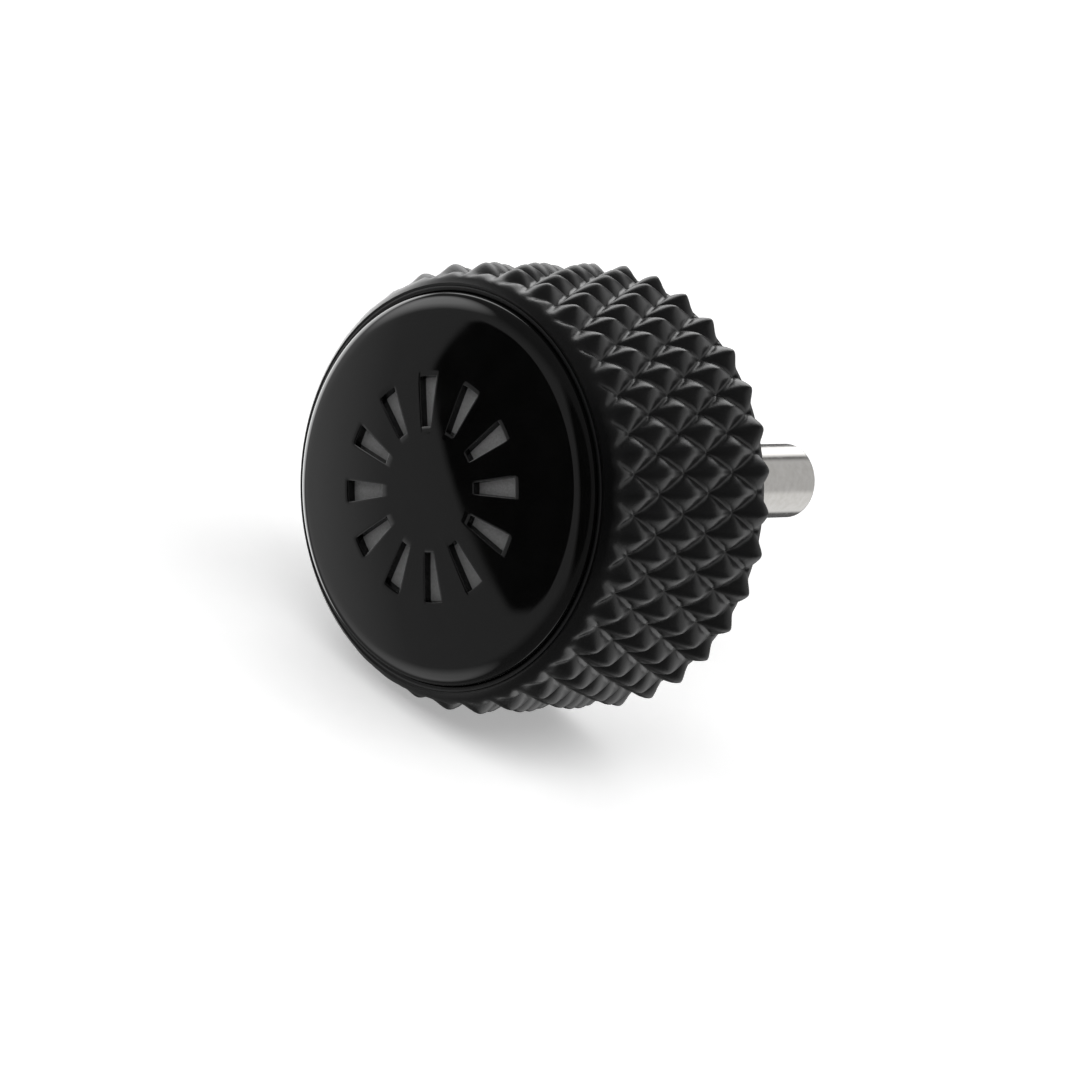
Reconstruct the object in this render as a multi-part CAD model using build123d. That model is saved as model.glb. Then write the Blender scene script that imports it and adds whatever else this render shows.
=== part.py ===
from build123d import *
from math import ceil, cos, pi, radians, sin, sqrt, tan
import os

# A screw-down watch crown: a knurled black head with a glossy cap pressed into its end, a steel
# guide pipe that carries the seals, and a sprung steel post that takes the winding stem.
# All sizes are in millimetres. The axis is Y: the cap faces -Y and the post points to +Y.
# The rear face of the skirt, which meets the watch case, lies on y = 0, and +Z is up.

# Crown head, outside
knurl_tip_radius = 3.5
knurl_groove_count = 33
knurl_helix_angle = 30
knurl_groove_angle = 105
rear_face_radius = 3.14
rear_bevel_length = 0.18
edge_to_tips = 0.22
head_length = 3.7
shoulder_start = 2.95
lip_radius = 3.14

# Crown head, inside. The entry and the relief are cut wider than the thread by their steps.
thread_minor_radius = 2.06
entry_step = 0.24
entry_depth = 0.25
relief_step = 0.29
relief_length = 0.51
skirt_depth = 2.2
web_thickness = 0.8

# End cap
cap_radius = 3.03
cap_stand = 0.2
cap_edge_bevel = 0.06
cap_crown_height = 0.3
marker_count = 12
marker_inner_radius = 0.95
marker_outer_radius = 1.75
marker_inner_width = 0.2
marker_outer_width = 0.36
marker_depth = 0.12

# Guide pipe
pipe_radius = 1.3
pipe_flange_radius = 1.75
pipe_flange_thickness = 0.3
pipe_bottom_thickness = 0.3
pipe_edge_bevel = 0.1
hex_across_flats = 1.5
hex_relief_length = 0.3
seal_groove_stand = 0.15
seal_groove_width = 0.6
seal_groove_radius = 1.02

# Retaining ring, pressed into the pipe's mouth
ring_wall = 0.41
ring_thickness = 0.4
ring_edge_bevel = 0.05

# Stem post
shank_radius = 0.6
shank_reach = 3.15
shank_edge_bevel = 0.1
post_head_length = 0.9
post_travel = 1.5
spigot_radius = 0.42
spigot_length = 0.25
stem_tap_radius = 0.35
stem_tap_depth = 2.5
stem_tap_entry = 0.06
drill_point_angle = 118

# Coil spring
spring_wire_radius = 0.08
spring_wire_side_count = 8
spring_turn_count = 5
spring_pressed_length = 1.3

# Seals
seal_cord_radius = 0.25
gasket_thickness = 0.45
washer_thickness = 0.15

# Clearances on the radius, or between end faces where the name says so
press_clearance = 0.01
seal_clearance = 0.02
shank_clearance = 0.04
hex_clearance = 0.03
spring_clearance = 0.07
spring_end_clearance = 0.01
washer_clearance = 0.03
overrun = 1


def turned(*points):
    """A solid of revolution about Y from (radius, y) points."""
    return revolve(make_face(Polyline(*points, close=True)), Axis.Y)


def ring(inner_radius, outer_radius, front_y, rear_y):
    """A plain turned ring between two end planes."""
    return turned(
        (inner_radius, front_y),
        (outer_radius, front_y),
        (outer_radius, rear_y),
        (inner_radius, rear_y),
    )


def hexagon_bar(across_flats, front_y, rear_y):
    """A hexagonal bar along Y, with corners at its top and bottom and flats at its sides."""
    section = RegularPolygon(across_flats / 2, 6, major_radius=False, rotation=30)
    outline = Plane.XZ.offset(-front_y) * section
    return extrude(outline, front_y - rear_y)


# Places along the axis that several pieces share, each from the piece that it rests on
lip_y = -head_length
skirt_floor_y = -skirt_depth
cap_seat_y = skirt_floor_y - web_thickness
cap_rim_y = lip_y - cap_stand
cap_top_y = cap_rim_y - cap_crown_height
flange_rear_y = cap_seat_y + pipe_flange_thickness
hex_floor_y = cap_seat_y + pipe_bottom_thickness
post_head_front_y = hex_floor_y + spring_pressed_length + post_travel
ring_seat_y = post_head_front_y + post_head_length
pipe_end_y = ring_seat_y + ring_thickness
post_end_y = pipe_end_y + shank_reach

# Radii that several pieces share
entry_radius = thread_minor_radius + entry_step
relief_radius = thread_minor_radius + relief_step
ring_hole_radius = shank_radius + shank_clearance
ring_outer_radius = ring_hole_radius + ring_wall

# Knurl: two families of V grooves, one of each hand, leave rows of four-sided points
knurl_pitch = 2 * pi * knurl_tip_radius / knurl_groove_count
knurl_normal_pitch = knurl_pitch * cos(radians(knurl_helix_angle))
knurl_depth = knurl_normal_pitch / 2 / tan(radians(knurl_groove_angle / 2))
knurl_root_radius = knurl_tip_radius - knurl_depth
tip_row_spacing = knurl_pitch / 2 / tan(radians(knurl_helix_angle))
columns = 2 * knurl_groove_count
rows = ceil((head_length - edge_to_tips) / tip_row_spacing) + 2


def knurl_point(column, row):
    """Groove crossings stand where column and row add up to an even number, tips elsewhere."""
    is_tip = (column + row) % 2
    radius = knurl_tip_radius if is_tip else knurl_root_radius
    angle = 2 * pi * column / columns
    y = tip_row_spacing * (1 - row) - edge_to_tips
    return (radius * cos(angle), y, radius * sin(angle))


def knurled_bar():
    """A closed bar whose side is made of the flat facets between the grooves."""
    facets = []
    for row in range(rows):
        for column in range(columns):
            corners = [
                knurl_point(column, row),
                knurl_point(column + 1, row),
                knurl_point(column + 1, row + 1),
                knurl_point(column, row + 1),
            ]
            first = (column + row) % 2
            for turn in (0, 2):
                picked = [corners[(first + turn + step) % 4] for step in range(3)]
                facets.append(Face(Wire.make_polygon(picked)))
    for row in (0, rows):
        end = [knurl_point(column, row) for column in range(columns)]
        facets.append(Face(Wire.make_polygon(end)))
    return Solid(Shell(facets))


def crown_head():
    """The knurled head. Its shoulder is rounded, so the knurl runs out towards the cap."""
    bevel_slope = (knurl_tip_radius - rear_face_radius) / rear_bevel_length
    blank_radius = knurl_tip_radius + overrun
    shoulder = TangentArc((knurl_tip_radius, -shoulder_start), (lip_radius, lip_y), tangent=(0, -1))
    blank_side = Polyline(
        (lip_radius, lip_y),
        (0, lip_y),
        (0, 0),
        (rear_face_radius, 0),
        (blank_radius, -overrun / bevel_slope - rear_bevel_length),
        (blank_radius, -shoulder_start),
        (knurl_tip_radius, -shoulder_start),
    )
    blank = revolve(make_face(shoulder + blank_side), Axis.Y)
    thread_end_y = skirt_floor_y + relief_length
    cavity = turned(
        (0, overrun),
        (entry_radius, overrun),
        (entry_radius, -entry_depth),
        (thread_minor_radius, -entry_depth - entry_step),
        (thread_minor_radius, thread_end_y),
        (relief_radius, thread_end_y),
        (relief_radius, skirt_floor_y),
        (0, skirt_floor_y),
    )
    cap_recess = ring(0, cap_radius + press_clearance, lip_y - overrun, cap_seat_y)
    flange_recess = ring(0, pipe_flange_radius + press_clearance, cap_seat_y - overrun, flange_rear_y)
    pipe_hole = ring(0, pipe_radius + press_clearance, cap_seat_y - overrun, overrun)
    return (knurled_bar() & blank) - cavity - cap_recess - flange_recess - pipe_hole


def end_cap():
    """The domed cap, with a ring of blasted markers sunk to an even depth in its face."""
    rim_radius = cap_radius - cap_edge_bevel
    sphere_radius = (rim_radius**2 + cap_crown_height**2) / (2 * cap_crown_height)
    sphere_y = cap_top_y + sphere_radius
    side = Polyline(
        (0, cap_top_y),
        (0, cap_seat_y),
        (cap_radius, cap_seat_y),
        (cap_radius, cap_rim_y + cap_edge_bevel),
        (rim_radius, cap_rim_y),
    )
    dome = RadiusArc((rim_radius, cap_rim_y), (0, cap_top_y), sphere_radius)
    if dome.center().X < 0:
        dome = RadiusArc((rim_radius, cap_rim_y), (0, cap_top_y), -sphere_radius)
    body = revolve(make_face(side + dome), Axis.Y)
    marker = Polygon(
        (marker_inner_radius, -marker_inner_width / 2),
        (marker_outer_radius, -marker_outer_width / 2),
        (marker_outer_radius, marker_outer_width / 2),
        (marker_inner_radius, marker_inner_width / 2),
        align=None,
    )
    track = Sketch() + [Rot(0, 0, 360 / marker_count * place) * marker for place in range(marker_count)]
    cutters = extrude(Plane.XZ.offset(-cap_top_y) * track, -cap_crown_height - marker_depth)
    floor = Pos(0, sphere_y, 0) * Sphere(sphere_radius - marker_depth)
    return body - (cutters - floor)


def guide_pipe():
    """A blind broached tube, held by its flange under the cap."""
    groove_front_y = seal_groove_stand
    groove_rear_y = groove_front_y + seal_groove_width
    outside = turned(
        (0, cap_seat_y),
        (pipe_flange_radius, cap_seat_y),
        (pipe_flange_radius, flange_rear_y),
        (pipe_radius, flange_rear_y),
        (pipe_radius, groove_front_y),
        (seal_groove_radius, groove_front_y),
        (seal_groove_radius, groove_rear_y),
        (pipe_radius, groove_rear_y),
        (pipe_radius, pipe_end_y - pipe_edge_bevel),
        (pipe_radius - pipe_edge_bevel, pipe_end_y),
        (0, pipe_end_y),
    )
    hex_corner_radius = hex_across_flats / sqrt(3)
    hex_bore = hexagon_bar(hex_across_flats, hex_floor_y + hex_relief_length, pipe_end_y + overrun)
    relief = ring(0, hex_corner_radius, hex_floor_y, hex_floor_y + hex_relief_length)
    mouth = ring(0, ring_outer_radius + press_clearance, ring_seat_y, pipe_end_y + overrun)
    return outside - hex_bore - relief - mouth


def retaining_ring():
    """Stops the post's hexagon head and guides its shank."""
    return turned(
        (ring_hole_radius, ring_seat_y),
        (ring_outer_radius, ring_seat_y),
        (ring_outer_radius, pipe_end_y - ring_edge_bevel),
        (ring_outer_radius - ring_edge_bevel, pipe_end_y),
        (ring_hole_radius + ring_edge_bevel, pipe_end_y),
        (ring_hole_radius, pipe_end_y - ring_edge_bevel),
    )


def stem_post():
    """A hexagon head that slides in the pipe, and a shank tapped for the stem."""
    head_across_flats = hex_across_flats - 2 * hex_clearance
    head = hexagon_bar(head_across_flats, post_head_front_y, ring_seat_y)
    spigot = ring(0, spigot_radius, post_head_front_y - spigot_length, post_head_front_y)
    shank = turned(
        (0, post_head_front_y),
        (shank_radius, post_head_front_y),
        (shank_radius, post_end_y - shank_edge_bevel),
        (shank_radius - shank_edge_bevel, post_end_y),
        (0, post_end_y),
    )
    tap_floor_y = post_end_y - stem_tap_depth
    drill_point = stem_tap_radius / tan(radians(drill_point_angle / 2))
    tap = turned(
        (0, tap_floor_y - drill_point),
        (stem_tap_radius, tap_floor_y),
        (stem_tap_radius, post_end_y - stem_tap_entry),
        (stem_tap_radius + stem_tap_entry, post_end_y),
        (0, post_end_y),
    )
    return head + spigot + shank - tap


def coil_spring():
    """Presses between the pipe's floor and the post's head. Its fine wire is drawn with flats."""
    coil_radius = spigot_radius + spring_clearance + spring_wire_radius
    end_gap = spring_wire_radius + spring_end_clearance
    spring_front_y = hex_floor_y + end_gap
    spring_height = post_head_front_y - end_gap - spring_front_y
    pitch = spring_height / spring_turn_count
    path = Helix(pitch, spring_height, coil_radius, center=(0, spring_front_y, 0), direction=(0, 1, 0))
    wire = Plane(path @ 0, z_dir=path % 0) * RegularPolygon(spring_wire_radius, spring_wire_side_count)
    return sweep(wire, path, is_frenet=True)


def pipe_o_ring():
    """The round cord seal in the pipe's groove."""
    cord_middle = seal_groove_radius + press_clearance + seal_cord_radius
    groove_middle_y = seal_groove_stand + seal_groove_width / 2
    section = Pos(cord_middle, groove_middle_y) * Circle(seal_cord_radius)
    return revolve(section, Axis.Y)


def tube_gasket():
    """The flat seal at the bottom of the skirt, which the case tube's end presses on."""
    return ring(
        pipe_radius + seal_clearance,
        relief_radius - seal_clearance,
        skirt_floor_y,
        skirt_floor_y + gasket_thickness,
    )


def gasket_washer():
    """The thin steel washer between the gasket and the turning end of the case tube."""
    front_y = skirt_floor_y + gasket_thickness
    return ring(
        pipe_radius + washer_clearance,
        thread_minor_radius - washer_clearance,
        front_y,
        front_y + washer_thickness,
    )


os.makedirs("parts", exist_ok=True)
for piece in (
    crown_head,
    end_cap,
    guide_pipe,
    retaining_ring,
    stem_post,
    coil_spring,
    pipe_o_ring,
    tube_gasket,
    gasket_washer,
):
    export_step(piece(), f"parts/{piece.__name__}.step")
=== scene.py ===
import bmesh
import bpy
from math import atan2, cos, hypot, pi, radians, sin, sqrt, tan
from mathutils import Matrix, Vector


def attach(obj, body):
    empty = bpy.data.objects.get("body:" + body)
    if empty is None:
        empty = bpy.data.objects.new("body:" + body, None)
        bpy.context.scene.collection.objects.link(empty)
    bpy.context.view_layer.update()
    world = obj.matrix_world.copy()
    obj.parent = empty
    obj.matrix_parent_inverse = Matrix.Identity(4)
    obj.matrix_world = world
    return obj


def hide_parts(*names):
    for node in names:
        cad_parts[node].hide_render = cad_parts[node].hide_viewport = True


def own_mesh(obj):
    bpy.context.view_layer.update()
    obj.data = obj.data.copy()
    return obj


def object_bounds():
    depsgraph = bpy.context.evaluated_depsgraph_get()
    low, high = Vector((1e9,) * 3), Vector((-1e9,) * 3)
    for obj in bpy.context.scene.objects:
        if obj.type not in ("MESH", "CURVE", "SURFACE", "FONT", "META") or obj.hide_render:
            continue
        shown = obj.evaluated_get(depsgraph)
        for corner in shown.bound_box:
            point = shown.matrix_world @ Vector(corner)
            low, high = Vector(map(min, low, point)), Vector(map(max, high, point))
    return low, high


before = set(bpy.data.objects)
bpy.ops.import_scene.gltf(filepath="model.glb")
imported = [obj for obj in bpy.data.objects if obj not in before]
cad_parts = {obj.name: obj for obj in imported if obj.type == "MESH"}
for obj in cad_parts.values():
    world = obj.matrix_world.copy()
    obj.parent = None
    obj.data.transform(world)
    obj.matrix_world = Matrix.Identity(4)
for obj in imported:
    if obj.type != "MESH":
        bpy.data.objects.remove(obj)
cad_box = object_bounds()
mm = 0.001


# Crown head
# The real head is turned from stainless steel bar. Two crossing sets of grooves are rolled into its
# side, which leaves four-sided points with rounded ridges. It is then blasted and coated black.
tip_radius = 3.5 * mm
groove_count = 33
helix_angle = radians(30)
groove_depth = 0.255 * mm
head_length = 3.7 * mm
lip_radius = 3.14 * mm
shoulder_start = 2.95 * mm
rear_face_radius = 3.14 * mm
rear_bevel_length = 0.18 * mm
edge_to_tips = 0.22 * mm
ridge_softness = 0.16 * mm
flank_bulge = 1.3
head_corner = 0.02 * mm
inner_corner = 0.03 * mm
entry_radius = 2.3 * mm
entry_depth = 0.25 * mm
thread_root_radius = 2.25 * mm
thread_end_y = -1.69 * mm
relief_radius = 2.35 * mm
skirt_floor_y = -2.2 * mm
pipe_hole_radius = 1.31 * mm
flange_rear_y = -2.7 * mm
flange_hole_radius = 1.76 * mm
cap_seat_y = -3 * mm
cap_hole_radius = 3.04 * mm
merge_distance = 0.00001 * mm

# A rounded corner takes at most this share of each of its sides.
corner_share = 0.45

# Where the mesh has its lines between one ridge and the next: closest together beside the ridges.
cell_shares = (0, 0.05, 0.13, 0.25, 0.42, 0.58, 0.75, 0.87, 0.95)

groove_pitch = 2 * pi * tip_radius / groove_count
row_spacing = groove_pitch / 2 / tan(helix_angle)
cell_steps = len(cell_shares)
head_steps = 2 * groove_count * cell_steps


def soft_least(first, second, width):
    """The lesser of two lengths, with the corner between them rounded over a width."""
    share = max(width - abs(first - second), 0) / width
    return min(first, second) - share * share * width / 4


def head_radius(angle, y):
    """How far the side stands from the axis: a knurl that sinks into the shoulder and rear bevel."""
    around = angle * groove_count / (2 * pi)
    along = (-edge_to_tips - y) / (2 * row_spacing)
    flanks = [
        groove_depth * (1 - (2 * abs(turn - round(turn))) ** flank_bulge)
        for turn in (around + along, around - along)
    ]
    drop = tip_radius - lip_radius
    run = head_length - shoulder_start
    round_radius = (drop**2 + run**2) / (2 * drop)
    past = max(-shoulder_start - y, 0)
    shoulder = tip_radius - round_radius + sqrt(round_radius**2 - past**2)
    bevel = rear_face_radius - y * (tip_radius - rear_face_radius) / rear_bevel_length
    limit = soft_least(shoulder, bevel, head_corner)

    # The softening takes a quarter of its width off each tip, so the whole side is raised by that.
    root_radius = tip_radius - groove_depth + ridge_softness / 4
    lowering = max(limit - root_radius, 0) / (tip_radius - root_radius)
    side = root_radius + lowering * soft_least(*flanks, ridge_softness)
    return soft_least(side, limit, head_corner)


def bend(start, middle, end, steps):
    """Points on a smooth curve from a start to an end, drawn towards a middle point."""
    curve = []
    for step in range(steps + 1):
        share = step / steps
        curve.append(tuple(start.lerp(middle, share).lerp(middle.lerp(end, share), share)))
    return curve


def rounded(corners, radius, steps=3):
    """A closed outline of (radius, y) corners, with each one off the axis turned to a small curve."""
    outline = []
    for index, corner in enumerate(corners):
        if corner[0] == 0:
            outline.append(corner)
            continue
        middle = Vector(corner)
        ends = []
        for other in (corners[index - 1], corners[(index + 1) % len(corners)]):
            way = Vector(other) - middle
            ends.append(middle + way.normalized() * min(radius, way.length * corner_share))
        outline += bend(ends[0], middle, ends[1], steps)
    return outline


def spun(outline, steps, turns=1, rise=0):
    """Spins an outline of (radius, y) points round the crown's axis, or winds it into a helix."""
    bm = bmesh.new()
    points = [bm.verts.new((r, y, 0)) for r, y in outline]
    for first, second in zip(points, points[1:] + points[:1]):
        if first.co.x or second.co.x:
            bm.edges.new((first, second))
    bmesh.ops.spin(
        bm,
        geom=bm.verts[:] + bm.edges[:],
        cent=(0, 0, 0),
        axis=(0, 1, 0),
        dvec=(0, rise / steps, 0),
        angle=2 * pi * turns,
        steps=steps,
        use_merge=not rise,
    )
    bmesh.ops.remove_doubles(bm, verts=bm.verts, dist=merge_distance)
    if rise:
        bmesh.ops.holes_fill(bm, edges=bm.edges, sides=len(outline))
    bmesh.ops.recalc_face_normals(bm, faces=bm.faces)
    return bm


def make_piece(name, bm, *materials, sharp=radians(32), weigh=True):
    """Turns a bmesh into an object in place, shaded smooth but for its sharp edges."""
    for edge in bm.edges:
        edge.smooth = edge.calc_face_angle(0) < sharp
    for face in bm.faces:
        face.smooth = True
    mesh = bpy.data.meshes.new(name)
    bm.to_mesh(mesh)
    bm.free()
    for material in materials:
        mesh.materials.append(material)
    piece = bpy.data.objects.new(name, mesh)
    bpy.context.scene.collection.objects.link(piece)
    if weigh:
        piece.modifiers.new("even_shading", "WEIGHTED_NORMAL").keep_sharp = True
    return piece


def place_piece(piece, body, node):
    """Gives a piece its body and hides the CAD node that it stands for."""
    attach(piece, body)
    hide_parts(node)


def srgb(code):
    """An sRGB hex colour as the linear colour that a shader socket takes."""
    parts = [int(code[start : start + 2], 16) / 255 for start in (1, 3, 5)]
    return [part / 12.92 if part <= 0.04045 else ((part + 0.055) / 1.055) ** 2.4 for part in parts] + [1]


def add_node(owner, kind, inputs=None, **settings):
    """Adds one shader node with its settings. An input is a value, or another node's output."""
    node = owner.node_tree.nodes.new("ShaderNode" + kind)
    for key, value in settings.items():
        setattr(node, key, value)
    for socket, value in (inputs or {}).items():
        if isinstance(value, bpy.types.NodeSocket):
            owner.node_tree.links.new(value, node.inputs[socket])
        else:
            node.inputs[socket].default_value = value
    return node


def new_material(name, **values):
    """A node material whose surface is one Principled shader, with its constant values."""
    material = bpy.data.materials.new(name)
    material.use_nodes = True
    shader = material.node_tree.nodes["Principled BSDF"]
    for key, value in values.items():
        shader.inputs[key.replace("_", " ")].default_value = value
    return material, shader


def grain(material, shader, size, depth, detail=2.0):
    """Fine bumps of a real size and depth, as a blasted, moulded or polished surface has."""
    place = add_node(material, "TexCoord").outputs["Object"]
    noise = add_node(material, "TexNoise", {"Vector": place, "Scale": 1 / size, "Detail": detail})
    bump = add_node(material, "Bump", {"Height": noise.outputs["Fac"], "Strength": 1.0, "Distance": depth})
    material.node_tree.links.new(bump.outputs["Normal"], shader.inputs["Normal"])
    return noise.outputs["Fac"]


# Map Range's inputs are numbered: its value, the two ends that it comes from, and the two that it
# goes to. Mix has its share at 0, two numbers at 2 and 3, and two colours at 6 and 7.
def vary(material, shader, socket, value, low, high, from_low=0.3, from_high=0.7):
    """Lets a pattern swing one input of the shader between two values or colours."""
    if isinstance(low, str):
        share = add_node(material, "MapRange", {0: value, 1: from_low, 2: from_high}).outputs[0]
        swing = add_node(material, "Mix", {0: share, 6: srgb(low), 7: srgb(high)}, data_type="RGBA")
        material.node_tree.links.new(swing.outputs[2], shader.inputs[socket])
    else:
        swing = add_node(material, "MapRange", {0: value, 1: from_low, 2: from_high, 3: low, 4: high})
        material.node_tree.links.new(swing.outputs[0], shader.inputs[socket])


def knurled_head():
    """Spins the head's outline, lets its side follow the knurl and splits faces along the grooves."""
    side = [-head_corner]
    row = -1
    while side[-1] > head_corner - head_length:
        start = -edge_to_tips - row * row_spacing
        side += [y for share in cell_shares if (y := start - share * row_spacing) < side[-1] - head_corner]
        row += 1
    side = [y for y in side if y > head_corner - head_length] + [head_corner - head_length]
    inside = [
        (rear_face_radius - head_corner, 0),
        (entry_radius, 0),
        (entry_radius, -entry_depth),
        (thread_root_radius, thread_root_radius - entry_radius - entry_depth),
        (thread_root_radius, thread_end_y),
        (relief_radius, thread_end_y),
        (relief_radius, skirt_floor_y),
        (pipe_hole_radius, skirt_floor_y),
        (pipe_hole_radius, flange_rear_y),
        (flange_hole_radius, flange_rear_y),
        (flange_hole_radius, cap_seat_y),
        (cap_hole_radius, cap_seat_y),
        (cap_hole_radius, -head_length),
        (lip_radius - head_corner, -head_length),
    ]
    outline = [(tip_radius, y) for y in reversed(side)] + rounded(inside, inner_corner, steps=2)
    bm = spun(outline, head_steps)

    # The side's columns of vertices are numbered from 1 round the head. All others stay at 0.
    step = 2 * pi / head_steps
    column_layer = bm.verts.layers.int.new("column")
    for vert in bm.verts:
        radius = hypot(vert.co.x, vert.co.z)
        column = round(atan2(vert.co.z, vert.co.x) / step) % head_steps
        cell, place = divmod(column, cell_steps)
        angle = (cell + cell_shares[place]) * pi / groove_count
        if radius > (tip_radius + rear_face_radius) / 2:
            vert[column_layer] = column + 1
            radius = head_radius(angle, vert.co.y)
        vert.co = (radius * cos(angle), vert.co.y, radius * sin(angle))

    # The last faces round the head go from the highest column back to 1.
    for face in bm.faces[:]:
        columns = [vert[column_layer] for vert in face.verts]
        if min(columns) == 0 or len(columns) != 4:
            continue
        low = min(columns) if max(columns) - min(columns) == 1 else max(columns)
        near = sorted((v for v in face.verts if v[column_layer] == low), key=lambda v: -v.co.y)
        far = sorted((v for v in face.verts if v[column_layer] != low), key=lambda v: -v.co.y)
        middle = (near[0].co.y + near[1].co.y) / 2
        row = (-edge_to_tips - middle) // row_spacing
        if ((low - 1) // cell_steps + row) % 2:
            bmesh.utils.face_split(face, near[0], far[1])
        else:
            bmesh.utils.face_split(face, near[1], far[0])
    return bm


# Satin black coating over blasted steel: near black, with a soft, wide shine on every ridge. The
# blasting's pits of about 0.01 mm are too fine to show, so they are drawn over three times as wide.
coating_grain = 0.035 * mm
coating_grain_depth = 0.0012 * mm

satin_black, shader = new_material("satin_black_coating", Roughness=0.32, IOR=1.5)
fine = grain(satin_black, shader, coating_grain, coating_grain_depth)
vary(satin_black, shader, "Base Color", fine, "#060606", "#0a0a0b")
crown_head = make_piece("knurled_head", knurled_head(), satin_black, sharp=radians(28), weigh=False)
place_piece(crown_head, "crown", "crown_head")


# Tube thread
# The M4.5 x 0.35 thread for the case tube, cut inside the skirt and coated with it. Its ridge
# stands on the bore's wall and fades at both ends, where the tool ran in and out.
thread_pitch = 0.35 * mm
thread_turns = 3.15
thread_crest_radius = 2.06 * mm
thread_start_y = -1.6 * mm
thread_flank_angle = radians(30)
crest_share = 1 / 16
sunk_share = 1 / 20
fade_turns = 0.3
least_fade = 0.05
thread_steps = 96


def thread_ridge(crest, root, pitch, turns, start_y, turn_steps):
    """One closed helical ridge that stands inwards from a bore's wall, and a little into it."""
    half_crest = pitch * crest_share
    half_root = half_crest + (root - crest) * tan(thread_flank_angle)
    sunk = root + pitch * sunk_share
    section = [
        (sunk, start_y - half_root),
        (root, start_y - half_root),
        (crest, start_y - half_crest),
        (crest, start_y + half_crest),
        (root, start_y + half_root),
        (sunk, start_y + half_root),
    ]
    bm = spun(section, round(turns * turn_steps), turns, pitch * turns)
    for vert in bm.verts:
        radius = hypot(vert.co.x, vert.co.z)
        if radius < (crest + root) / 2:
            along = (vert.co.y - start_y) / pitch
            fade = min(max(min(along, turns - along) / fade_turns, least_fade), 1)
            grown = (root + (radius - root) * fade) / radius
            vert.co.x *= grown
            vert.co.z *= grown
    return bm


ridge = thread_ridge(
    thread_crest_radius,
    thread_root_radius,
    thread_pitch,
    thread_turns,
    thread_start_y,
    thread_steps,
)
tube_thread = make_piece("tube_thread", ridge, satin_black)
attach(tube_thread, "crown")


# End cap
# The real cap is a turned steel disc with a rolled edge, polished to a mirror, coated gloss black
# and pressed into the head. Twelve blasted markers are sunk in its dome.
cap_radius = 3.03 * mm
cap_rim_y = -3.9 * mm
cap_edge_bevel = 0.06 * mm
cap_crown_height = 0.3 * mm
edge_roll_width = 0.3 * mm
edge_roll_height = 0.2 * mm
marker_inner_radius = 0.95 * mm
marker_outer_radius = 1.75 * mm
marker_depth = 0.12 * mm
marker_edge = 0.012 * mm
marker_spacing = radians(30)
marker_half_angle = radians(6)
cap_steps = 360
dome_steps = (8, 8, 12)
edge_steps = 12


def domed_cap():
    """Spins the cap with its rolled edge, then sinks the markers into its dome."""
    rim = cap_radius - cap_edge_bevel
    sphere_radius = (rim**2 + cap_crown_height**2) / (2 * cap_crown_height)
    sphere_y = cap_rim_y - cap_crown_height + sphere_radius
    roll_radius = cap_radius - edge_roll_width
    stops = (0, marker_inner_radius, marker_outer_radius, roll_radius)
    dome = []
    for start, end, steps in zip(stops, stops[1:], dome_steps):
        for step in range(steps):
            radius = start + (end - start) * step / steps
            dome.append((radius, sphere_y - sqrt(sphere_radius**2 - radius**2)))
    drop = sqrt(sphere_radius**2 - roll_radius**2)
    roll_start = Vector((roll_radius, sphere_y - drop))
    roll_corner = roll_start + edge_roll_width * Vector((1, roll_radius / drop))
    edge = bend(roll_start, roll_corner, roll_corner + Vector((0, edge_roll_height)), edge_steps)
    bm = spun(dome + edge + [(cap_radius, cap_seat_y), (0, cap_seat_y)], cap_steps)
    picked = []
    for face in bm.faces:
        middle = face.calc_center_median()
        turn = (atan2(middle.z, middle.x) + marker_spacing / 2) % marker_spacing - marker_spacing / 2
        between = marker_inner_radius < hypot(middle.x, middle.z) < marker_outer_radius
        if between and abs(turn) < marker_half_angle and middle.y < cap_rim_y:
            picked.append(face)

    # Each marker gets a small bevel first, and then its steep wall.
    walls = []
    for depth in (marker_edge / 2, marker_depth - marker_edge / 2):
        walls += bmesh.ops.inset_region(
            bm,
            faces=picked,
            use_boundary=True,
            use_even_offset=True,
            thickness=marker_edge,
            depth=-depth,
        )["faces"]
    for face in picked:
        face.material_index = 1
    for face in walls:
        face.material_index = 0
    return bm


# Gloss black coating over polished steel: a dark mirror, bent a little by the long, shallow waves
# that the polishing wheel leaves.
polish_wave = 0.5 * mm
polish_wave_depth = 0.0004 * mm

gloss_black, shader = new_material("gloss_black_coating", IOR=1.5)
polish = grain(gloss_black, shader, polish_wave, polish_wave_depth, 1.0)
vary(gloss_black, shader, "Roughness", polish, 0.035, 0.07)
vary(gloss_black, shader, "Base Color", polish, "#050505", "#080808")

# Blasted steel marker floors: an even grey that mirrors nothing, with pits of 0.03 mm from the grit.
marker_grit = 0.03 * mm
marker_grit_depth = 0.003 * mm

marker_grey, shader = new_material("blasted_marker_floor", Roughness=0.55)
fine = grain(marker_grey, shader, marker_grit, marker_grit_depth)
vary(marker_grey, shader, "Base Color", fine, "#686868", "#787878")
end_cap = make_piece("domed_cap", domed_cap(), gloss_black, marker_grey)
place_piece(end_cap, "crown", "end_cap")


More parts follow.
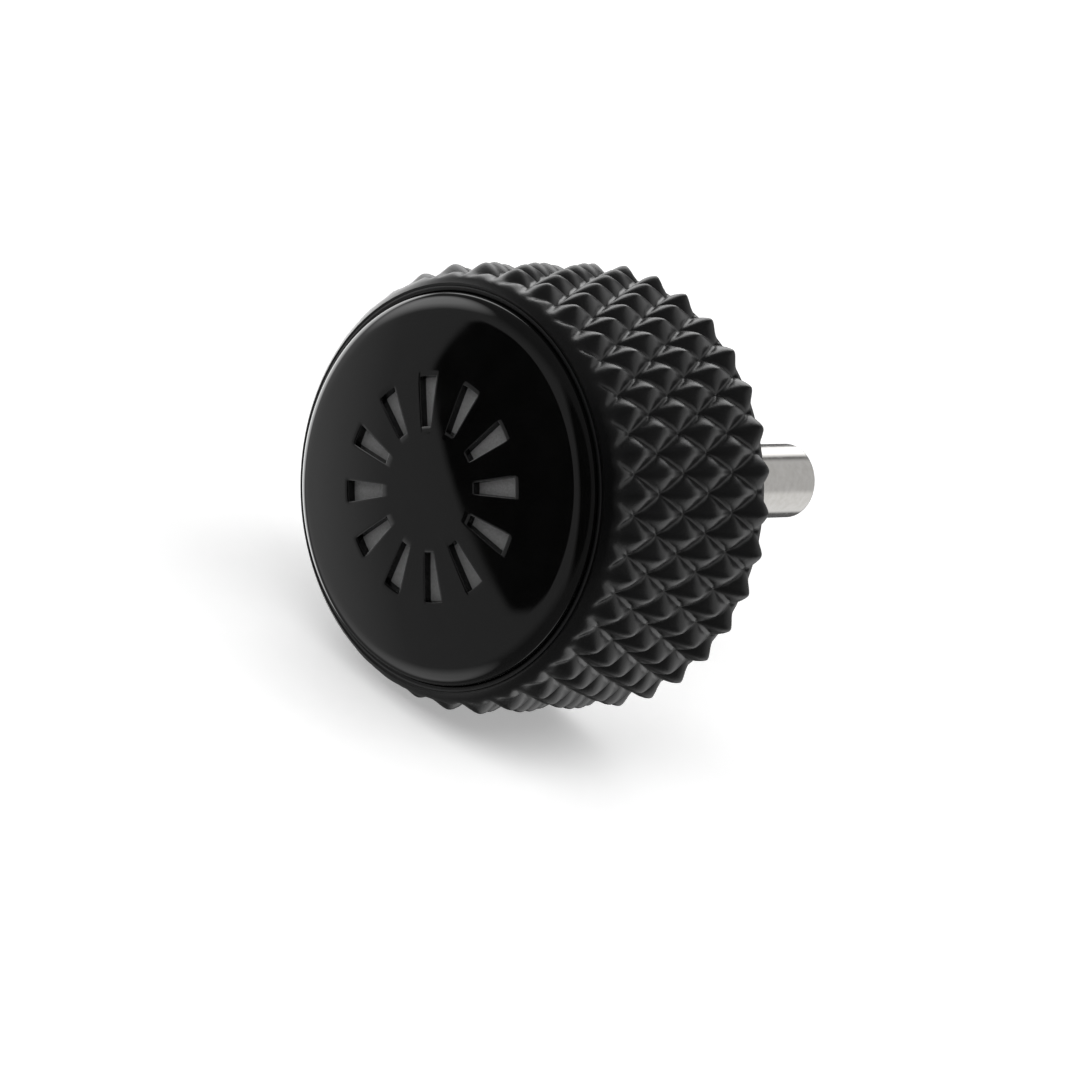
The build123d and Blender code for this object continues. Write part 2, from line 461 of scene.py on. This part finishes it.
# Guide pipe
# The real pipe is turned from stainless steel, with a groove for its seal, a flange that the cap
# holds down and a hexagon bore for the post's head.
pipe_radius = 1.3 * mm
pipe_end_y = 1.4 * mm
pipe_bevel = 0.1 * mm
flange_radius = 1.75 * mm
seal_groove_radius = 1.02 * mm
seal_groove_start_y = 0.15 * mm
seal_groove_end_y = 0.75 * mm
ring_seat_radius = 1.06 * mm
ring_seat_y = 1 * mm
hex_flat = 0.75 * mm
hex_half_side = radians(30)
hex_end_y = -2.4 * mm
bore_relief_radius = 0.866 * mm
pipe_floor_y = -2.7 * mm
pipe_corner = 0.02 * mm
turned_steps = 96

# Turned stainless steel: light grey, with fine bright rings from the lathe's feed. The real feed of
# about 0.02 mm wouldn't show, so the rings are drawn 0.05 mm apart.
feed_pitch = 0.05 * mm
feed_depth = 0.0012 * mm

# At a scale of 1 the wave pattern repeats after this many metres.
wave_length = pi / 10

turned_steel, shader = new_material("turned_stainless_steel", Metallic=1.0)
place = add_node(turned_steel, "TexCoord").outputs["Object"]
feed = add_node(
    turned_steel,
    "TexWave",
    {
        "Vector": place,
        "Scale": wave_length / feed_pitch,
        "Distortion": 0.6,
        "Detail": 2.0,
        "Detail Scale": 0.2,
    },
    bands_direction="Y",
).outputs["Fac"]
rings = add_node(turned_steel, "Bump", {"Height": feed, "Strength": 1.0, "Distance": feed_depth})
turned_steel.node_tree.links.new(rings.outputs["Normal"], shader.inputs["Normal"])
vary(turned_steel, shader, "Base Color", feed, "#b4b4b6", "#c4c4c5", from_low=0, from_high=1)
vary(turned_steel, shader, "Roughness", feed, 0.24, 0.34, from_low=0, from_high=1)
pipe_outline = [
    (0, cap_seat_y),
    (flange_radius, cap_seat_y),
    (flange_radius, flange_rear_y),
    (pipe_radius, flange_rear_y),
    (pipe_radius, seal_groove_start_y),
    (seal_groove_radius, seal_groove_start_y),
    (seal_groove_radius, seal_groove_end_y),
    (pipe_radius, seal_groove_end_y),
    (pipe_radius, pipe_end_y - pipe_bevel),
    (pipe_radius - pipe_bevel, pipe_end_y),
    (ring_seat_radius, pipe_end_y),
    (ring_seat_radius, ring_seat_y),
    (hex_flat, ring_seat_y),
    (hex_flat, hex_end_y),
    (bore_relief_radius, hex_end_y),
    (bore_relief_radius, pipe_floor_y),
    (0, pipe_floor_y),
]


def make_hexagon(bm, flat, corner):
    """Draws the rings of a mesh about one radius out to a hexagon, with corners up and down."""
    for vert in bm.verts:
        if flat - 2 * corner < hypot(vert.co.x, vert.co.z) < flat + 2 * corner:
            angle = (atan2(vert.co.z, vert.co.x) + hex_half_side) % (2 * hex_half_side)
            vert.co.x /= cos(angle - hex_half_side)
            vert.co.z /= cos(angle - hex_half_side)


bm = spun(rounded(pipe_outline, pipe_corner), turned_steps)
make_hexagon(bm, hex_flat, pipe_corner)
guide_pipe = make_piece("turned_pipe", bm, turned_steel)
place_piece(guide_pipe, "crown", "guide_pipe")


# Retaining ring
# A plain turned ring of stainless steel, pressed into the pipe's mouth. The post's shank slides
# through it and the post's head can't pass.
ring_hole_radius = 0.64 * mm
ring_radius = 1.05 * mm
ring_bevel = 0.05 * mm
ring_corner = 0.015 * mm

ring_outline = [
    (ring_hole_radius, ring_seat_y),
    (ring_radius, ring_seat_y),
    (ring_radius, pipe_end_y - ring_bevel),
    (ring_radius - ring_bevel, pipe_end_y),
    (ring_hole_radius + ring_bevel, pipe_end_y),
    (ring_hole_radius, pipe_end_y - ring_bevel),
]
bm = spun(rounded(ring_outline, ring_corner), turned_steps)
retaining_ring = make_piece("pressed_ring", bm, turned_steel)
place_piece(retaining_ring, "crown", "retaining_ring")


# Stem post
# The real post is turned from stainless steel and polished on its shank: a hexagon head inside
# the pipe, with a spigot for the spring, and a round end tapped for the winding stem.
shank_radius = 0.6 * mm
post_end_y = 4.55 * mm
post_bevel = 0.1 * mm
head_flat = 0.72 * mm
head_start_y = 0.1 * mm
spigot_radius = 0.42 * mm
spigot_end_y = -0.15 * mm
tap_mouth_bevel = 0.02 * mm
tap_root_radius = 0.45 * mm
tap_depth = 2.5 * mm
drill_point_length = 0.21 * mm
post_corner = 0.03 * mm

# Polished stainless steel: a bright, slightly warm mirror with a faint haze. The polishing wheel's
# scratches are too fine to show, so the haze is drawn in patches of 0.12 mm.
haze_size = 0.12 * mm
haze_depth = 0.0003 * mm

polished_steel, shader = new_material("polished_stainless_steel", Metallic=1.0)
haze = grain(polished_steel, shader, haze_size, haze_depth)
vary(polished_steel, shader, "Base Color", haze, "#b9b7b3", "#c2c0bd")
vary(polished_steel, shader, "Roughness", haze, 0.12, 0.2)
post_outline = [
    (0, spigot_end_y),
    (spigot_radius, spigot_end_y),
    (spigot_radius, head_start_y),
    (head_flat, head_start_y),
    (head_flat, ring_seat_y),
    (shank_radius, ring_seat_y),
    (shank_radius, post_end_y - post_bevel),
    (shank_radius - post_bevel, post_end_y),
    (tap_root_radius + tap_mouth_bevel, post_end_y),
    (tap_root_radius, post_end_y - tap_mouth_bevel),
    (tap_root_radius, post_end_y - tap_depth),
    (0, post_end_y - tap_depth - drill_point_length),
]
bm = spun(rounded(post_outline, post_corner), turned_steps)
make_hexagon(bm, head_flat, post_corner)
stem_post = make_piece("tapped_post", bm, polished_steel)
place_piece(stem_post, "post", "stem_post")

# Its M0.9 x 0.225 thread is a ridge of its own, so it rides on the post too.
stem_pitch = 0.225 * mm
stem_turns = 10.4
stem_crest_radius = 0.35 * mm
stem_start_y = post_end_y - 2.44 * mm
stem_steps = 32

ridge = thread_ridge(stem_crest_radius, tap_root_radius, stem_pitch, stem_turns, stem_start_y, stem_steps)
stem_thread = make_piece("stem_thread", ridge, polished_steel)
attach(stem_thread, "post")


# Coil spring
# Five turns of drawn stainless wire between the pipe's floor and the post's head. The real one shortens as
# the post slides in; this one keeps its length.
wire_radius = 0.08 * mm
coil_radius = 0.57 * mm
spring_turns = 5
spring_room = 2.8 * mm
seat_gap = 0.01 * mm
wire_sides = 12
coil_steps = 48

# Drawn stainless spring wire: a duller grey than the turned parts, faintly speckled by the die's
# marks. They are drawn 0.04 mm wide, because finer ones wouldn't show.
drawing_marks = 0.04 * mm
drawing_marks_depth = 0.001 * mm

spring_steel, shader = new_material("drawn_spring_wire", Metallic=1.0)
drawn = grain(spring_steel, shader, drawing_marks, drawing_marks_depth)
vary(spring_steel, shader, "Base Color", drawn, "#a2a2a4", "#b4b4b6")
vary(spring_steel, shader, "Roughness", drawn, 0.22, 0.34)


def round_section(middle, y, radius, sides):
    """The outline of a round wire or cord about a middle point."""
    turns = [2 * pi * side / sides for side in range(sides)]
    return [(middle + radius * cos(turn), y + radius * sin(turn)) for turn in turns]


wire = round_section(coil_radius, pipe_floor_y + wire_radius + seat_gap, wire_radius, wire_sides)
spring_rise = spring_room - 2 * (wire_radius + seat_gap)
bm = spun(wire, spring_turns * coil_steps, spring_turns, spring_rise)
coil_spring = make_piece("wound_spring", bm, spring_steel)
place_piece(coil_spring, "crown", "coil_spring")
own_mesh(coil_spring)


# Seals
# The real O-ring and gasket are moulded nitrile rubber. The ring sits in the pipe's groove, and the
# gasket lies loose at the bottom of the skirt.
cord_radius = 0.25 * mm
cord_middle = 1.28 * mm
cord_y = 0.45 * mm
cord_sides = 24
gasket_hole_radius = 1.32 * mm
gasket_radius = 2.33 * mm
gasket_rear_y = -1.75 * mm
gasket_corner = 0.06 * mm
seal_steps = 120

# Matte nitrile rubber: dark grey and dull, with a faint pale bloom in patches of 0.05 mm.
bloom_size = 0.05 * mm
bloom_depth = 0.002 * mm

seal_rubber, shader = new_material("matte_nitrile_rubber", Roughness=0.6, IOR=1.52)
bloom = grain(seal_rubber, shader, bloom_size, bloom_depth)
vary(seal_rubber, shader, "Base Color", bloom, "#161616", "#222222")
cord = round_section(cord_middle, cord_y, cord_radius, cord_sides)
pipe_o_ring = make_piece("moulded_o_ring", spun(cord, seal_steps), seal_rubber)
place_piece(pipe_o_ring, "crown", "pipe_o_ring")

gasket_outline = [
    (gasket_hole_radius, skirt_floor_y),
    (gasket_radius, skirt_floor_y),
    (gasket_radius, gasket_rear_y),
    (gasket_hole_radius, gasket_rear_y),
]
bm = spun(rounded(gasket_outline, gasket_corner), seal_steps)
tube_gasket = make_piece("flat_gasket", bm, seal_rubber)
place_piece(tube_gasket, "crown", "tube_gasket")


# Gasket washer
# A thin washer stamped from stainless steel sheet. It lies on the gasket and keeps the turning tube
# off the rubber.
washer_hole_radius = 1.33 * mm
washer_radius = 2.03 * mm
washer_rear_y = -1.6 * mm
washer_corner = 0.03 * mm

washer_outline = [
    (washer_hole_radius, gasket_rear_y),
    (washer_radius, gasket_rear_y),
    (washer_radius, washer_rear_y),
    (washer_hole_radius, washer_rear_y),
]
bm = spun(rounded(washer_outline, washer_corner), seal_steps)
gasket_washer = make_piece("stamped_washer", bm, turned_steel)
place_piece(gasket_washer, "crown", "gasket_washer")


# Camera
# It stands as far off and as far round as the outline in the photograph asks, and is rolled to
# match, because the real crown probably stood on its skirt and this one lies on its knurl.
view_azimuth = radians(37.46)
view_elevation = radians(20)
view_roll = radians(22.09)
view_distance = 97.49 * mm
lens_length = 209.4
target = Vector((0, -2.2 * mm, 0))
aim_right = 0.408 * mm
aim_up = -0.803 * mm
clip_start = 1 * mm

back = Vector((
    sin(view_azimuth) * cos(view_elevation),
    -cos(view_azimuth) * cos(view_elevation),
    sin(view_elevation),
))
level = Vector((cos(view_azimuth), sin(view_azimuth), 0))
upright = back.cross(level)
right = level * cos(view_roll) + upright * sin(view_roll)
up = upright * cos(view_roll) - level * sin(view_roll)
camera = bpy.data.objects.new("camera", bpy.data.cameras.new("camera"))
camera.data.lens = lens_length
camera.data.clip_start = clip_start
place = target + back * view_distance + right * aim_right + up * aim_up
camera.matrix_world = Matrix.Translation(place) @ Matrix((right, up, back)).transposed().to_4x4()
bpy.context.scene.collection.objects.link(camera)
bpy.context.scene.camera = camera
bpy.context.scene.view_settings.view_transform = "Standard"


# Floor
# A sheet of matte white card under the crown. What the camera sees of it is lifted to white, least
# where the shadow falls. The crown's mirror doesn't show it, as it doesn't in the photograph.
floor_size = 2000 * mm
# The glow is weaker near the crown. This is painted shade: it darkens the floor round the crown and
# deepens its real shadow.
near_lift = 0.36
far_lift = 1.0
near_reach = 12 * mm
far_reach = 45 * mm
card_grain = 0.2 * mm
card_grain_depth = 0.001 * mm

bm = bmesh.new()
bmesh.ops.create_grid(bm, x_segments=1, y_segments=1, size=floor_size / 2)
bmesh.ops.translate(bm, verts=bm.verts, vec=(0, 0, cad_box[0].z))
floor_white, shader = new_material("white_floor", Roughness=0.9)
shader.inputs["Specular IOR Level"].default_value = 0
speckle = grain(floor_white, shader, card_grain, card_grain_depth)
vary(floor_white, shader, "Base Color", speckle, "#eeeeee", "#f2f2f2")
shader.inputs["Emission Color"].default_value = (1, 1, 1, 1)
seen = add_node(floor_white, "LightPath").outputs["Is Camera Ray"]
place = add_node(floor_white, "TexCoord").outputs["Object"]
away = add_node(floor_white, "VectorMath", {0: place}, operation="LENGTH").outputs["Value"]
# Painted shade: the glow is weakest within near_reach of the crown and full beyond far_reach.
lift = add_node(
    floor_white,
    "MapRange",
    {0: away, 1: near_reach, 2: far_reach, 3: near_lift, 4: far_lift},
).outputs[0]
lift = add_node(floor_white, "Math", {0: seen, 1: lift}, operation="MULTIPLY").outputs[0]
floor_white.node_tree.links.new(lift, shader.inputs["Emission Strength"])
floor = make_piece("floor", bm, floor_white, weigh=False)
floor.visible_glossy = False


# Tent
# The crown stands in a dim cloth tent with a lit wall on its left, a dark opening beside the camera
# and six lit panels. Only the camera sees it white. Glossy rays see the tent itself, because the
# photograph's black mirror shows a dim room with a dark window and not the white background.
dim_level = 0.13
gap_level = 0.01
wall_near_level = 0.34
wall_far_level = 0.68
panel_edge = 0.06

# How far a direction points a given way runs from -1 to 1. These are the limits of the wall and of
# the opening on that measure, and the widths over which they fade.
wall_side = -0.4
wall_side_edge = 0.4
wall_rear = -0.45
wall_front = 0.8
wall_end_edge = 0.15
wall_height = 0.4
wall_height_edge = 0.3
wall_near_front = -0.03
wall_far_front = -0.27
camera_gap_start = 0.86
camera_gap_edge = 0.12
opening_start = 0.175
opening_side_edge = 0.02
opening_edge = 0.004
no_limit = 2

opening_way = (back * 0.33 - right * 0.943 + up * 0.03).normalized()
opening_side = back + up * 0.465
opening_reach = radians(15.8)

tent = bpy.data.worlds.new("tent")
tent.use_nodes = True
bpy.context.scene.world = tent
direction = add_node(tent, "TexCoord").outputs["Generated"]


def band(way, low, high, edge, share=1.0):
    """Keeps a share where the direction points a given way by an amount between two limits."""
    amount = add_node(tent, "VectorMath", {0: direction, 1: way}, operation="DOT_PRODUCT").outputs["Value"]
    rise = add_node(tent, "MapRange", {0: amount, 1: low - edge, 2: low, 4: share}).outputs[0]
    return add_node(tent, "MapRange", {0: amount, 1: high + edge, 2: high, 4: rise}).outputs[0]


front = add_node(tent, "VectorMath", {0: direction, 1: back}, operation="DOT_PRODUCT").outputs["Value"]
wall = add_node(
    tent,
    "MapRange",
    {0: front, 1: wall_near_front, 2: wall_far_front, 3: wall_near_level, 4: wall_far_level},
).outputs[0]
on_left = band(right, -no_limit, wall_side, wall_side_edge)
on_wall = band(back, wall_rear, wall_front, wall_end_edge, on_left)
on_wall = band(up, -wall_height, wall_height, wall_height_edge, on_wall)
at_camera = band(back, camera_gap_start, no_limit, camera_gap_edge)
beside = band(opening_side, opening_start, no_limit, opening_side_edge)
in_opening = band(opening_way, cos(opening_reach), no_limit, opening_edge, beside)
parts = [(on_wall, wall), (at_camera, gap_level), (in_opening, gap_level)]

# Where each lit panel stands, how far it reaches round there and how bright it is: on the right,
# below, above, two small ones at the upper and lower left, and one behind.
for way, reach, strength in (
    (-back * 0.35 + right * 0.9, radians(35), 0.72),
    (-back * 0.5 + right * 0.55 - up * 0.66, radians(24), 1.1),
    (-back * 0.65 + right * 0.15 + up * 0.72, radians(18), 2.5),
    (-back * 0.12 - right * 0.76 + up * 0.6, radians(9), 2.2),
    (-back * 0.15 - right * 0.74 - up * 0.62, radians(9), 1.0),
    (-back * 0.82 - right * 0.5 + up * 0.25, radians(20), 2.5),
):
    parts.append((band(way.normalized(), cos(reach), no_limit, panel_edge), strength))
parts.append((add_node(tent, "LightPath").outputs["Is Camera Ray"], 1.0))
light = dim_level
for share, strength in parts:
    light = add_node(tent, "Mix", {0: share, 2: light, 3: strength}).outputs[0]
tent.node_tree.links.new(light, tent.node_tree.nodes["Background"].inputs["Color"])


# Soft boxes
# Two square soft boxes: one above and to the right throws the shadow, and one above the camera
# fills it.
box_distance = 60 * mm
box_size = 45 * mm

for name, way, energy in (
    ("key_box", Vector((0, 0, 0.9)) + level * 0.5 + back * 0.2, 0.013),
    ("fill_box", back * 0.8 + up * 0.6, 0.016),
):
    box = bpy.data.objects.new(name, bpy.data.lights.new(name, "AREA"))
    box.data.shape = "SQUARE"
    box.data.size = box_size
    box.data.energy = energy
    way = way.normalized()
    turn = way.to_track_quat("Z", "Y").to_matrix().to_4x4()
    box.matrix_world = Matrix.Translation(way * box_distance) @ turn
    box.visible_glossy = False
    bpy.context.scene.collection.objects.link(box)
